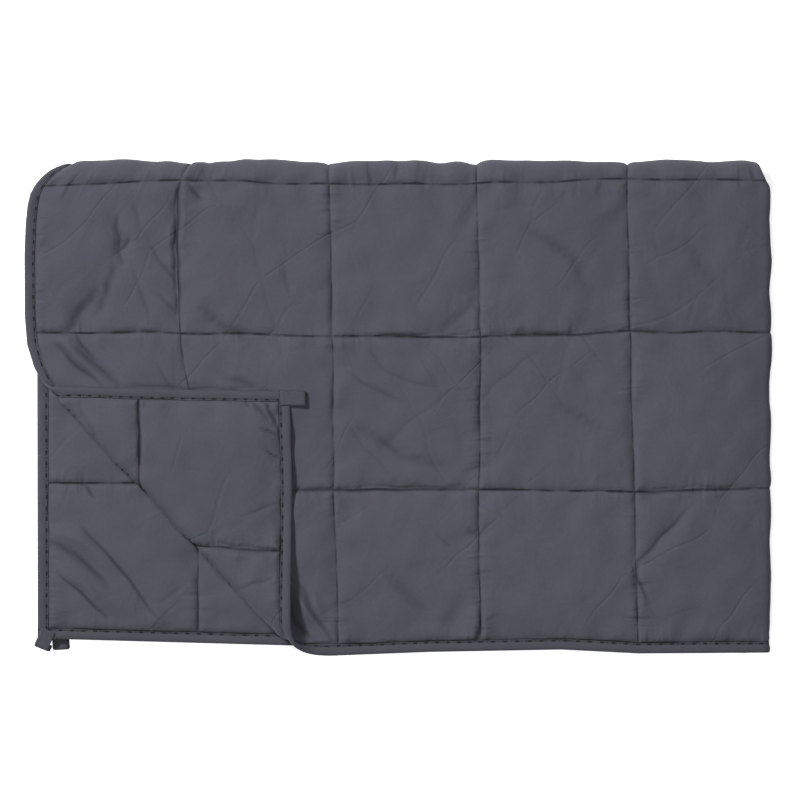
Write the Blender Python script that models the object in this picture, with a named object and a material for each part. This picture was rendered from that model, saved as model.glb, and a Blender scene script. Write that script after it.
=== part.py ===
"""A quilted weighted blanket, folded in quarters, with one corner of its top layer turned back.

The blanket is first worked out flat, as it is sewn. In that flat state u runs along its long side,
v along its short side and w from its backing (minus) to its face (plus). Every piece is made flat,
cut at the lines where it will bend, and then laid into the folded stack by fold(). The first fold
is the right-hand edge, at the middle of the long side. The second is the top edge, at the middle of
the short side. The third turns back the free corner of the top layer.

Units are metres. The world's +Z is up, +X is to the right and +Y away from the open edges. The
origin is on the floor, under the middle of the folded outline.
"""

import math

import bmesh
import bpy
from mathutils import Matrix, Vector

COLLECTION_NAME = "folded_weighted_blanket"

# Driving dimensions of the sewn blanket, flat
SHEET_LONG = 1.980
SHEET_SHORT = 1.232
POCKETS_LONG = 10
POCKETS_SHORT = 6
BINDING_WIDTH = 0.014
BINDING_HALF = 0.0030
BINDING_WALL = 0.0008
BINDING_FOLD = 0.0018
GAP = 0.0003
BORDER_HALF = 0.0008
SEAM_HALF = 0.0013
POCKET_HALF = 0.0050
SHOULDER = 0.034
TAPE_WIDTH = 0.019
TAPE_THICKNESS = 0.0012
TAPE_EYE = 0.0048
TAPE_HOLD = 0.013
TAPE_TURN_STEPS = 8
EDGE_CLEARANCE = 0.0014

POCKET_LONG = (SHEET_LONG - 2 * BINDING_WIDTH) / POCKETS_LONG
POCKET_SHORT = (SHEET_SHORT - 2 * BINDING_WIDTH) / POCKETS_SHORT
MIDDLE_SHORT = SHEET_SHORT / 2
INNER_EDGE = BINDING_FOLD + EDGE_CLEARANCE

# The folded stack: four layers, one pitch apart
LAYER_PITCH = 0.0115
SIDE_RADIUS = LAYER_PITCH / 2
SIDE_ARC = math.pi * SIDE_RADIUS
SIDE_TURN_U = 0.973
SIDE_TURN_X = 0.4752
TOP_TURN_Y = 0.2992
TOP_TURN_OUTER_V = 0.620
TOP_TURN_INNER_V = 0.611
INNER_BLEND_U = (0.990, 1.190)
EDGE_DROOP = 0.0016
DROOP_REACH = 0.055
FLOOR_LIFT = POCKET_HALF - LAYER_PITCH / 2

# How far the layers lie from their ideal places, a row for each station along an edge
LEAN_AT_OPEN_EDGE = 0.010
LEAN_BLEND_U = (0.0, 0.40)
LEAN_FADE_U = (1.0, 1.4)
OUTER_EDGE_FADE_U = 0.33
OUTER_EDGE_SHIFT = (  # v, shift to the right of the outer layers' left edge
    (0.000, 0.043), (0.344, 0.043), (0.360, 0.033), (0.375, 0.025), (0.404, 0.016),
    (0.440, 0.013), (0.520, 0.013), (0.600, 0.019), (0.622, 0.034), (0.647, 0.048),
    (0.680, 0.040), (0.750, 0.034), (1.232, 0.032),
)
INNER_EDGE_BLEND_U = (1.05, 1.60)
INNER_EDGE_SHIFT = (  # v, shift to the right of the inner layers' left edge
    (0.000, 0.0450), (0.580, 0.0440), (0.660, 0.0660), (1.232, 0.0660),
)
OPEN_EDGE_REACH = 0.22
OUTER_OPEN_LIFT = (  # u, lift of the top and bottom layers' open edge along +Y
    (0.40, 0.000), (0.53, 0.005), (0.70, 0.008), (0.80, 0.003), (0.96, 0.004),
)
INNER_OPEN_LIFT = (  # u, lift of the second layer's open edge along +Y
    (1.00, 0.003), (1.40, 0.001), (1.62, 0.003), (1.98, 0.013),
)
THIRD_OPEN_LIFT = 0.009

# The corner turned back over a diagonal line of the top layer
TURN_LINE_START = Vector((0.006, 0.344))
TURN_LINE_END = Vector((0.323, 0.041))
TURN_ALONG = (TURN_LINE_END - TURN_LINE_START).normalized()
TURN_ACROSS = Vector((-TURN_ALONG.y, TURN_ALONG.x))
ROLL_SKIN = 0.004
FLAP_EASE = 0.975
FLAP_SKEW = 0.08
FLAP_SETTLE = 0.110
ROLL = (  # place along the line, roll's half width, roll's half height
    (0.03, 0.0080, 0.0070), (0.14, 0.0120, 0.0085), (0.32, 0.0140, 0.0095),
    (0.42, 0.0210, 0.0140), (0.48, 0.0250, 0.0170),
)
ROLL_CUTS = (0.029, 0.018, 0.010, 0.003, -0.004, -0.011, -0.018, -0.026, -0.034, -0.042, -0.050)
ROLL_CUT_AREA = 0.40

# Stations of the cuts: parts of a pocket, and the extra lines round the two folds
POCKET_CUTS = (0.0, 0.06, 0.25, 0.75, 0.94)
SIDE_TURN_CUTS = (0.9635, 0.9680, 0.9725, 0.9770, 0.9855)
TOP_TURN_CUTS = (0.6115, 0.6205, 0.6360, 0.6450, 0.6550, 0.6740)
CUT_MERGE = 0.00002

# Corners that hold a tape loop: name, at the far long end, at the far short end, lean in degrees,
# reach past the edge, and slant: how far the returning leg lies aside, as a share of its depth
LOOPS = (
    ("tape_loop_turned_corner", False, False, 0.0, 0.020, 0.0),
    ("tape_loop_second_layer", True, False, -22.0, 0.015, 0.5),
    ("tape_loop_third_layer", True, True, 4.0, 0.020, -0.5),
    ("tape_loop_bottom_layer", False, True, 0.0, 0.018, 0.0),
)

# Main creases in the pockets that show: a trough from one place of the flat blanket to another
CREASES = (  # side (+1 face, -1 backing), start (u, v), end (u, v), half width, depth
    (1, (0.128, 0.572), (0.122, 0.535), 0.011, 0.0028),
    (1, (0.122, 0.535), (0.134, 0.508), 0.010, 0.0026),
    (1, (0.121, 0.508), (0.098, 0.452), 0.014, 0.0024),
    (1, (0.094, 0.478), (0.058, 0.428), 0.018, 0.0026),
    (1, (0.150, 0.590), (0.162, 0.560), 0.010, 0.0018),
    (1, (0.168, 0.528), (0.202, 0.478), 0.012, 0.0020),
    (1, (0.036, 0.404), (0.078, 0.346), 0.013, 0.0032),
    (1, (0.232, 0.462), (0.292, 0.420), 0.014, 0.0020),
    (1, (0.306, 0.376), (0.370, 0.356), 0.016, 0.0018),
    (1, (0.592, 0.460), (0.552, 0.424), 0.014, 0.0018),
    (1, (0.864, 0.190), (0.806, 0.118), 0.012, 0.0026),
    (-1, (1.960, 0.176), (1.886, 0.128), 0.016, 0.0022),
    (-1, (1.962, 0.112), (1.888, 0.052), 0.016, 0.0022),
    (-1, (1.884, 0.112), (1.826, 0.046), 0.014, 0.0020),
)
CREASE_END_SLOPE = 1.6
CREASE_CUT_REACH = 2.5

COTTON_COLOUR = (0.085, 0.085, 0.108, 1.0)
TAPE_COLOUR = (0.060, 0.060, 0.078, 1.0)
COTTON_ROUGHNESS = 0.85
TAPE_ROUGHNESS = 0.75
SHARP_ANGLE = 50.0


def smooth(value, low, high):
    """A soft step from 0 at low to 1 at high."""
    part = min(1.0, max(0.0, (value - low) / (high - low)))
    return part * part * (3 - 2 * part)


def look_up(rows, key, column=1):
    """Read a table whose first column rises, in straight steps between its rows."""
    if key <= rows[0][0]:
        return rows[0][column]
    for lower, upper in zip(rows, rows[1:]):
        if key <= upper[0]:
            part = (key - lower[0]) / (upper[0] - lower[0])
            return lower[column] + part * (upper[column] - lower[column])
    return rows[-1][column]


def turn_back(u, v, w):
    """Roll the top layer's corner over its diagonal line and lay it down on the layer."""
    place = Vector((u, v)) - TURN_LINE_START
    along = place.dot(TURN_ALONG)
    across = place.dot(TURN_ACROSS)
    half_width = look_up(ROLL, along)
    half_height = look_up(ROLL, along, 2)
    run = half_width + ROLL_SKIN - across
    if run <= 0:
        return u, v, w, 1.0
    angle = min(run / half_width, math.pi)
    beyond = max(0.0, run - math.pi * half_width)
    normal = Vector((half_height * math.sin(angle), half_width * math.cos(angle))).normalized()
    offset = half_width + ROLL_SKIN - half_width * math.sin(angle) + normal.x * w
    settled = smooth(beyond, 0.0, FLAP_SETTLE)
    rise = half_height * (1 - math.cos(angle))
    rise -= settled * (2 * half_height - LAYER_PITCH)
    spot = TURN_LINE_START + TURN_ALONG * (along + beyond * FLAP_SKEW)
    spot += TURN_ACROSS * (offset + beyond * FLAP_EASE)
    return spot.x, spot.y, rise + normal.y * w, abs(math.cos(angle))


def side_turn(u, v, w):
    """Fold the long side at the right-hand edge: x, level in its pair of layers, and flatness."""
    lean = LEAN_AT_OPEN_EDGE * max(0.0, 1 - v / MIDDLE_SHORT)
    lean *= smooth(u, *LEAN_BLEND_U) * (1 - smooth(u, *LEAN_FADE_U))
    run = u - SIDE_TURN_U + lean
    outer_fade = max(0.0, 1 - u / OUTER_EDGE_FADE_U)
    inner_fade = smooth(u, *INNER_EDGE_BLEND_U)
    shift = look_up(OUTER_EDGE_SHIFT, v) * outer_fade + look_up(INNER_EDGE_SHIFT, v) * inner_fade
    radius = SIDE_RADIUS + w
    if run <= 0:
        return SIDE_TURN_X + run + shift, radius, 1.0
    if run < SIDE_ARC:
        angle = run / SIDE_RADIUS
        return SIDE_TURN_X + radius * math.sin(angle), radius * math.cos(angle), abs(math.cos(angle))
    return SIDE_TURN_X - (run - SIDE_ARC) + shift, -radius, 1.0


def open_edge_lift(u, v):
    """Shift along +Y of the cloth near the open edges, which don't lie exactly one over another."""
    if v < MIDDLE_SHORT:
        fade = max(0.0, 1 - v / OPEN_EDGE_REACH)
        return fade * (look_up(OUTER_OPEN_LIFT, u) if u < 1.0 else look_up(INNER_OPEN_LIFT, u))
    fade = max(0.0, 1 - (SHEET_SHORT - v) / OPEN_EDGE_REACH)
    return fade * THIRD_OPEN_LIFT


def top_turn(u, v, level):
    """Fold the short side at the top edge: y, z and flatness."""
    inner = smooth(u, *INNER_BLEND_U)
    start = TOP_TURN_OUTER_V + inner * (TOP_TURN_INNER_V - TOP_TURN_OUTER_V)
    path_radius = LAYER_PITCH * (1.5 - inner)
    run = v - start
    arc = math.pi * path_radius
    if run <= 0:
        return TOP_TURN_Y + run + open_edge_lift(u, v), 3 * LAYER_PITCH + level, 1.0
    if run < arc:
        angle = run / path_radius
        radius = LAYER_PITCH + level
        height = 2 * LAYER_PITCH + radius * math.cos(angle)
        return TOP_TURN_Y + radius * math.sin(angle), height, abs(math.cos(angle))
    return TOP_TURN_Y - (run - arc) + open_edge_lift(u, v), LAYER_PITCH - level, 1.0


def fold(point):
    """Lay a point of the flat blanket into the folded stack."""
    u, v, w, turned_flat = turn_back(*point)
    x, level, side_flat = side_turn(u, v, w)
    y, z, top_flat = top_turn(u, v, level)
    to_edge = min(point.x, SHEET_LONG - point.x, point.y, SHEET_SHORT - point.y)
    droop = EDGE_DROOP * (1 - smooth(to_edge, BINDING_WIDTH, DROOP_REACH))
    droop *= turned_flat * side_flat * top_flat
    return Vector((x, y, z - droop + FLOOR_LIFT))


def pocket_rise(distance):
    """How far a pocket has filled out at a distance from its stitched line, from 0 to 1."""
    return math.sin(min(1.0, distance / SHOULDER) * math.pi / 2)


def half_thickness(u, v):
    """Half the filled quilt's thickness: thin at its stitched lines, level in its pockets."""
    from_edge = min(u, SHEET_LONG - u, v, SHEET_SHORT - v)
    if from_edge <= BINDING_WIDTH + GAP:
        return BORDER_HALF
    part_u = ((u - BINDING_WIDTH) / POCKET_LONG) % 1
    part_v = ((v - BINDING_WIDTH) / POCKET_SHORT) % 1
    to_seam_u = min(part_u, 1 - part_u) * POCKET_LONG
    to_seam_v = min(part_v, 1 - part_v) * POCKET_SHORT
    return SEAM_HALF + (POCKET_HALF - SEAM_HALF) * pocket_rise(to_seam_u) * pocket_rise(to_seam_v)


def crease_frame(start, end):
    """The middle of a crease, its half length, and the directions along and across it."""
    start = Vector(start)
    end = Vector(end)
    along = (end - start).normalized()
    return (start + end) / 2, (end - start).length / 2, along, Vector((-along.y, along.x))


def crease_depth(u, v, side):
    """How far the main creases pull in one side of the quilt at a place."""
    depth = 0.0
    for crease_side, start, end, half_width, deepest in CREASES:
        if crease_side != side:
            continue
        middle, half_length, along, across = crease_frame(start, end)
        place = Vector((u, v)) - middle
        near = max(0.0, 1 - abs(place.dot(across)) / half_width)
        inside = max(0.0, 1 - abs(place.dot(along)) / (half_length + half_width))
        depth = max(depth, deepest * near * min(1.0, CREASE_END_SLOPE * inside))
    return depth


def pocket_stations(count, pitch):
    """Cut lines across a row of pockets, from the first stitched line to the last."""
    lines = [BINDING_WIDTH + (number + part) * pitch for number in range(count) for part in POCKET_CUTS]
    far = BINDING_WIDTH + count * pitch
    return lines + [far]


def cut(shape, place, direction, within=None):
    """Cut all faces of a flat shape, or those within an area, along one plane."""
    faces = [face for face in shape.faces if within is None or within(face.calc_center_median())]
    edges = {edge for face in faces for edge in face.edges}
    corners = {corner for face in faces for corner in face.verts}
    bmesh.ops.bisect_plane(
        shape, geom=faces + list(edges) + list(corners), dist=CUT_MERGE, plane_co=place, plane_no=direction)


def cut_for_folds(shape):
    """Cut a flat shape at every line where pockets change height or the folds bend it."""
    lines_u = pocket_stations(POCKETS_LONG, POCKET_LONG) + list(SIDE_TURN_CUTS)
    lines_v = pocket_stations(POCKETS_SHORT, POCKET_SHORT) + list(TOP_TURN_CUTS)
    for u in lines_u:
        cut(shape, (u, 0, 0), (1, 0, 0))
    for v in lines_v:
        cut(shape, (0, v, 0), (0, 1, 0))
    for across in ROLL_CUTS:
        place = TURN_LINE_START + TURN_ACROSS * across
        cut(shape, (place.x, place.y, 0), (TURN_ACROSS.x, TURN_ACROSS.y, 0),
            within=lambda centre: centre.x < ROLL_CUT_AREA and centre.y < ROLL_CUT_AREA)


def cut_for_creases(shape):
    """Cut one side of the quilt along the foot and both shoulders of each crease, and across it."""
    for side, start, end, half_width, _ in CREASES:
        middle, half_length, along, across = crease_frame(start, end)
        reach = half_length + half_width

        def near(centre):
            place = centre.xy - middle
            beside = abs(place.dot(across)) < CREASE_CUT_REACH * half_width
            return centre.z * side > 0 and abs(place.dot(along)) < reach and beside

        for distance in (-half_width, 0.0, half_width):
            cut(shape, (*(middle + across * distance), 0), (*across, 0), within=near)
        for distance in (-half_length, 0.0, half_length):
            cut(shape, (*(middle + along * distance), 0), (*along, 0), within=near)


def flat_box(low, high):
    """A closed box between two corners of the flat blanket."""
    shape = bmesh.new()
    bmesh.ops.create_cube(shape, size=1.0)
    size = Vector(high) - Vector(low)
    bmesh.ops.scale(shape, vec=size, verts=shape.verts)
    bmesh.ops.translate(shape, vec=Vector(low) + size / 2, verts=shape.verts)
    return shape


def new_material(name, colour, roughness):
    """A plain cloth finish."""
    material = bpy.data.materials.new(name)
    material.use_nodes = True
    shader = material.node_tree.nodes["Principled BSDF"]
    shader.inputs["Base Color"].default_value = colour
    shader.inputs["Roughness"].default_value = roughness
    shader.inputs["Metallic"].default_value = 0.0
    return material


def add_part(collection, shape, name, material):
    """Fold a flat shape and keep it as one named object."""
    if shape.calc_volume(signed=True) < 0:
        bmesh.ops.reverse_faces(shape, faces=shape.faces)
    bmesh.ops.triangulate(shape, faces=shape.faces, quad_method="BEAUTY", ngon_method="BEAUTY")
    for corner in shape.verts:
        corner.co = fold(corner.co)
    mesh = bpy.data.meshes.new(name)
    shape.to_mesh(mesh)
    shape.free()
    mesh.materials.append(material)
    mesh.shade_smooth()
    mesh.set_sharp_from_angle(angle=math.radians(SHARP_ANGLE))
    part = bpy.data.objects.new(name, mesh)
    collection.objects.link(part)


def add_quilt(collection, material):
    """The filled quilt: two cloths sewn together in pockets, as one solid with its channels."""
    low = (INNER_EDGE, INNER_EDGE, -POCKET_HALF)
    high = (SHEET_LONG - INNER_EDGE, SHEET_SHORT - INNER_EDGE, POCKET_HALF)
    shape = flat_box(low, high)
    cut_for_folds(shape)
    cut_for_creases(shape)
    for corner in shape.verts:
        u, v, w = corner.co
        side = math.copysign(1, w)
        corner.co.z = side * max(BORDER_HALF, half_thickness(u, v) - crease_depth(u, v, side))
    add_part(collection, shape, "quilted_panel", material)


def add_binding(collection, material, name, low, high, inner_direction, open_ends):
    """A binding strip: a band folded over the quilt's edge, open along its inner side."""
    band = flat_box((*low, -BINDING_HALF), (*high, BINDING_HALF))
    inner_direction = Vector(inner_direction)
    mouth = max(band.faces, key=lambda face: face.normal.dot(inner_direction))
    bmesh.ops.inset_region(band, faces=[mouth], thickness=BINDING_WALL, use_even_offset=True)
    floor = bmesh.ops.extrude_discrete_faces(band, faces=[mouth])["faces"][0]
    depth = BINDING_WIDTH - BINDING_FOLD
    bmesh.ops.translate(band, vec=-depth * inner_direction, verts=floor.verts)
    if open_ends:
        trim_ends(band, inner_direction)
    cut_for_folds(band)
    add_part(collection, band, name, material)


def trim_ends(band, inner_direction):
    """Cut the closed ends off a band, so that it butts between the long strips, and cap its section."""
    run = Vector((abs(inner_direction.y), abs(inner_direction.x), 0))
    places = [corner.co.dot(run) for corner in band.verts]
    trim = BINDING_WALL + GAP
    for end, side in ((min(places) + trim, -1), (max(places) - trim, 1)):
        bmesh.ops.bisect_plane(
            band, geom=band.faces[:] + band.edges[:] + band.verts[:], dist=CUT_MERGE,
            plane_co=run * end, plane_no=run * side, clear_outer=True)
        rim = [edge for edge in band.edges if edge.is_boundary]
        bmesh.ops.edgeloop_fill(band, edges=rim)


def add_bindings(collection, material):
    """Four strips: the long sides' run through at the corners, the short sides' butt between them."""
    wide = BINDING_WIDTH
    far_u = SHEET_LONG
    far_v = SHEET_SHORT
    between = wide - BINDING_WALL
    add_binding(collection, material, "binding_long_side_turned",
                (0, 0), (far_u, wide), (0, 1, 0), False)
    add_binding(collection, material, "binding_long_side_under",
                (0, far_v - wide), (far_u, far_v), (0, -1, 0), False)
    add_binding(collection, material, "binding_short_side_outer",
                (0, between), (wide, far_v - between), (1, 0, 0), True)
    add_binding(collection, material, "binding_short_side_inner",
                (far_u - wide, between), (far_u, far_v - between), (-1, 0, 0), True)


def add_loop(collection, material, name, far_long, far_short, lean, reach, slant):
    """A tape loop: sewn flat over the binding on the backing side, out past the edge and back."""
    loop = bmesh.new()
    bmesh.ops.create_grid(loop, x_segments=1, y_segments=1, size=0.5)
    bmesh.ops.scale(loop, vec=(TAPE_WIDTH, TAPE_THICKNESS, 1), verts=loop.verts)
    bmesh.ops.rotate(loop, matrix=turn_about("X", 90), verts=loop.verts)
    top = -(BINDING_HALF + GAP + TAPE_THICKNESS / 2)
    turn_radius = (TAPE_EYE + TAPE_THICKNESS) / 2
    bmesh.ops.translate(loop, vec=(0, TAPE_HOLD, top), verts=loop.verts)
    straight = reach - turn_radius - TAPE_THICKNESS / 2
    end = extend(loop, loop.faces[:] + loop.edges[:] + loop.verts[:], -(TAPE_HOLD + straight))
    centre = (0, -straight, top + turn_radius)
    spun = bmesh.ops.spin(loop, geom=end, cent=centre, axis=(-1, 0, 0), angle=math.pi, steps=TAPE_TURN_STEPS)
    slack = math.sin(math.radians(abs(lean))) * (TAPE_WIDTH / 2 + abs(slant) * 2 * turn_radius)
    extend(loop, spun["geom_last"], straight - GAP - slack)
    for corner in loop.verts:
        corner.co.x += slant * (corner.co.z - top)
    bmesh.ops.rotate(loop, matrix=turn_about("Z", lean), verts=loop.verts)
    bmesh.ops.translate(loop, vec=(TAPE_WIDTH / 2, 0, 0), verts=loop.verts)
    if far_long:
        bmesh.ops.scale(loop, vec=(-1, 1, 1), verts=loop.verts)
        bmesh.ops.translate(loop, vec=(SHEET_LONG, 0, 0), verts=loop.verts)
    if far_short:
        bmesh.ops.scale(loop, vec=(1, -1, 1), verts=loop.verts)
        bmesh.ops.translate(loop, vec=(0, SHEET_SHORT, 0), verts=loop.verts)
    add_part(collection, loop, name, material)


def turn_about(axis, degrees):
    """A rotation about one axis of the flat blanket."""
    return Matrix.Rotation(math.radians(degrees), 3, axis)


def extend(shape, end, distance):
    """Pull the end of a tape out along its length, and return its new end."""
    pulled = bmesh.ops.extrude_face_region(shape, geom=end)["geom"]
    corners = [item for item in pulled if isinstance(item, bmesh.types.BMVert)]
    bmesh.ops.translate(shape, vec=(0, distance, 0), verts=corners)
    return pulled


def main():
    for old in list(bpy.data.objects):
        bpy.data.objects.remove(old, do_unlink=True)
    collection = bpy.data.collections.new(COLLECTION_NAME)
    bpy.context.scene.collection.children.link(collection)
    add_quilt(collection, new_material("brushed_cotton", COTTON_COLOUR, COTTON_ROUGHNESS))
    add_bindings(collection, new_material("cotton_binding", COTTON_COLOUR, COTTON_ROUGHNESS))
    tape = new_material("ribbed_tape", TAPE_COLOUR, TAPE_ROUGHNESS)
    for row in LOOPS:
        add_loop(collection, tape, *row)


main()
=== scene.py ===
# %% [markdown]
# # A weighted blanket, folded in quarters, with one corner turned back
#
# The real thing is two layers of brushed cotton, sewn together in a grid of pockets that hold the
# weight, with a folded band of the same cloth round the edge and a tape loop at each corner. It lies
# folded twice, and the free corner of the top layer is turned back over the rest.
#
# A folded cloth could be dropped and simulated, but then its folds would land where they like. Here
# the blanket is worked out flat, as it is sewn, and one function lays every point of it into the
# folded stack. Each piece only needs its flat shape, which is easy to picture and to measure.

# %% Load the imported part
import math

import bmesh
import bpy
import numpy as np
from mathutils import Matrix, Vector


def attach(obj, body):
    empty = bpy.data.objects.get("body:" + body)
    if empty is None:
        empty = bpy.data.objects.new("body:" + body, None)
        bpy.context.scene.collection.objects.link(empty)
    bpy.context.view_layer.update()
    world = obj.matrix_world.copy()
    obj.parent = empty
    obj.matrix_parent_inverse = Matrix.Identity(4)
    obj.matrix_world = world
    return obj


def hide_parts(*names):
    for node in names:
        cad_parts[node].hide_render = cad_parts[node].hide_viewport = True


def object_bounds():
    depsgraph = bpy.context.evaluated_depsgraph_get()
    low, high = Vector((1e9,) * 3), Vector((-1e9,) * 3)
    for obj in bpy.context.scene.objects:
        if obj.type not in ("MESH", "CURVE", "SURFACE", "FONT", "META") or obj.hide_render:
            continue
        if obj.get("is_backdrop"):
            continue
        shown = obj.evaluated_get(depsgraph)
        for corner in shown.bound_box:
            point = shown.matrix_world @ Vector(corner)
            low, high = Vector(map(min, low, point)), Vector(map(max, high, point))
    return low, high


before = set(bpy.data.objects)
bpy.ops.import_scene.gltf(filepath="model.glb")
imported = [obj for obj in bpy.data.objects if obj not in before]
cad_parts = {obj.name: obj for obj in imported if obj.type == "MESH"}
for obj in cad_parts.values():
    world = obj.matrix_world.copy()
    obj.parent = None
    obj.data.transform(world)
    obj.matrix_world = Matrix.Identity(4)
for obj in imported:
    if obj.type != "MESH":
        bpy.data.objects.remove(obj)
cad_low, cad_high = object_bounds()
print("CAD box in millimetres:", [round(side * 1000, 1) for side in cad_high - cad_low])

# %% [markdown]
# ## Sizes of the sewn blanket
#
# In the flat blanket, u runs along the long side, v along the short side, and w goes from the backing
# (minus) to the face (plus). Sizes are in metres, except in tables that say millimetres. The grid is
# ten pockets by six, and the band that binds the edge takes 14 mm of each side.

# %% Flat sizes
SHEET_LONG = 1.980
SHEET_SHORT = 1.232
POCKETS_LONG = 10
POCKETS_SHORT = 6
BINDING_WIDTH = 0.014
BINDING_HALF = 0.0030
POCKET_HALF = 0.0050
SEAM_HALF = 0.0013
BORDER_HALF = 0.0008
GAP = 0.0003
TAPE_WIDTH = 0.019
TAPE_THICKNESS = 0.0012
TAPE_EYE = 0.0048
TAPE_HOLD = 0.013
POCKET_LONG = (SHEET_LONG - 2 * BINDING_WIDTH) / POCKETS_LONG
POCKET_SHORT = (SHEET_SHORT - 2 * BINDING_WIDTH) / POCKETS_SHORT
print("one pocket in millimetres:", round(POCKET_LONG * 1000, 1), round(POCKET_SHORT * 1000, 1))

# %% [markdown]
# ## How the blanket is folded
#
# The stack has four layers, one pitch apart. The first fold is the right-hand edge, at the middle of
# the long side, and the second is the top edge, at the middle of the short side. Real layers never
# lie exactly over each other, so short tables say how far each edge lies from its ideal place. The
# last fold rolls the free corner over a diagonal line, and the roll is wider towards one end.

# %% Tables of the folds
LAYER_PITCH = 0.0115
SIDE_RADIUS = LAYER_PITCH / 2
SIDE_ARC = math.pi * SIDE_RADIUS
SIDE_TURN_U = 0.973
SIDE_TURN_X = 0.4752
TOP_TURN_Y = 0.2992
TOP_TURN_OUTER_V = 0.620
TOP_TURN_INNER_V = 0.611
INNER_BLEND_U = (0.990, 1.190)
EDGE_DROOP = 0.0016
DROOP_REACH = 0.055
FLOOR_LIFT = POCKET_HALF - LAYER_PITCH / 2
LEAN_AT_OPEN_EDGE = 0.010
LEAN_BLEND_U = (0.0, 0.40)
LEAN_FADE_U = (1.0, 1.4)
OUTER_EDGE_FADE_U = 0.33
OUTER_EDGE_SHIFT = (  # v, shift to the right of the outer layers' left edge
    (0.000, 0.043), (0.344, 0.043), (0.360, 0.033), (0.375, 0.025), (0.404, 0.016),
    (0.440, 0.013), (0.520, 0.0125), (0.560, 0.014), (0.585, 0.0165), (0.600, 0.020),
    (0.612, 0.0265), (0.622, 0.035), (0.631, 0.046), (0.640, 0.059), (0.650, 0.067), (0.660, 0.066),
    (0.680, 0.055), (0.750, 0.036), (1.232, 0.032),
)
INNER_EDGE_BLEND_U = (1.05, 1.60)
INNER_EDGE_SHIFT = (  # v, shift to the right of the inner layers' left edge
    (0.000, 0.0450), (0.580, 0.0440), (0.660, 0.0660), (1.232, 0.0660),
)
OPEN_EDGE_REACH = 0.22
OUTER_OPEN_LIFT = (  # u, lift of the top and bottom layers' open edge along +Y
    (0.40, 0.000), (0.53, 0.005), (0.70, 0.008), (0.80, 0.003), (0.96, 0.004),
)
INNER_OPEN_LIFT = (  # u, lift of the second layer's open edge along +Y
    (1.00, 0.003), (1.40, 0.001), (1.62, 0.003), (1.98, 0.013),
)
THIRD_OPEN_LIFT = 0.009
TURN_LINE_START = np.array((0.006, 0.344))
TURN_LINE_END = np.array((0.323, 0.041))
TURN_LENGTH = np.linalg.norm(TURN_LINE_END - TURN_LINE_START)
TURN_ALONG = (TURN_LINE_END - TURN_LINE_START) / TURN_LENGTH
TURN_ACROSS = np.array((-TURN_ALONG[1], TURN_ALONG[0]))
ROLL_SKIN = 0.004
FLAP_EASE = 0.975
FLAP_SKEW = 0.08
FLAP_SETTLE = 0.110
ROLL = (  # place along the line, roll's half width, roll's half height
    (0.03, 0.0080, 0.0070), (0.14, 0.0120, 0.0085), (0.32, 0.0140, 0.0095),
    (0.42, 0.0210, 0.0140), (0.48, 0.0250, 0.0170),
)
print("length of the line that the corner turns over:", round(TURN_LENGTH, 3))

# %% [markdown]
# ## Laying a flat point into the stack
#
# Three small functions do one fold each, and fold() runs them in order: the turned corner first, then
# the side, then the top. They take whole arrays of points, because the quilt has tens of thousands of
# them. A bend is an arc round a line: a point's height above the cloth's middle adds to the radius.
# Before the folds, a drift moves each point of the top layer a few millimetres, as real seams wander.

# %% Helpers for tables, soft steps, soft waves, points and pieces
def smooth(value, low, high):
    """A soft step from 0 at low to 1 at high."""
    part = np.clip((value - low) / (high - low), 0, 1)
    return part * part * (3 - 2 * part)


def look_up(rows, key, column=1):
    """Read a table whose first column rises, in straight steps between its rows."""
    table = np.array(rows)
    return np.interp(key, table[:, 0], table[:, column])


def wave(u, v, length, seed):
    """A soft, uneven wave over the blanket, between about -1 and 1, of roughly one wavelength."""
    generator = np.random.default_rng(seed)
    total = np.zeros(np.broadcast(u, v).shape)
    for _ in range(5):
        angle = generator.uniform(0, 2 * math.pi)
        pace = 2 * math.pi / (length * generator.uniform(0.75, 1.4))
        phase = generator.uniform(0, 2 * math.pi)
        total = total + np.sin(pace * (u * math.cos(angle) + v * math.sin(angle)) + phase)
    return total / 3


def edge_distance(u, v):
    """How far a flat point lies from the nearest raw edge."""
    return np.minimum(np.minimum(u, SHEET_LONG - u), np.minimum(v, SHEET_SHORT - v))


def new_piece(shape, name):
    """Keep a finished bmesh as an object at the origin, with smooth shading."""
    mesh = bpy.data.meshes.new(name)
    shape.to_mesh(mesh)
    shape.free()
    mesh.shade_smooth()
    piece = bpy.data.objects.new(name, mesh)
    bpy.context.scene.collection.objects.link(piece)
    return piece


def read_points(mesh):
    """A mesh's vertices as an array with a row for each."""
    places = np.empty(len(mesh.vertices) * 3)
    mesh.vertices.foreach_get("co", places)
    return places.reshape(-1, 3)


print("halfway through a soft step:", smooth(0.5, 0, 1))
print("one wave over 0.2 m:", wave(np.linspace(0, 0.2, 5), 0.0, 0.1, 1).round(2).tolist())

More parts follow.
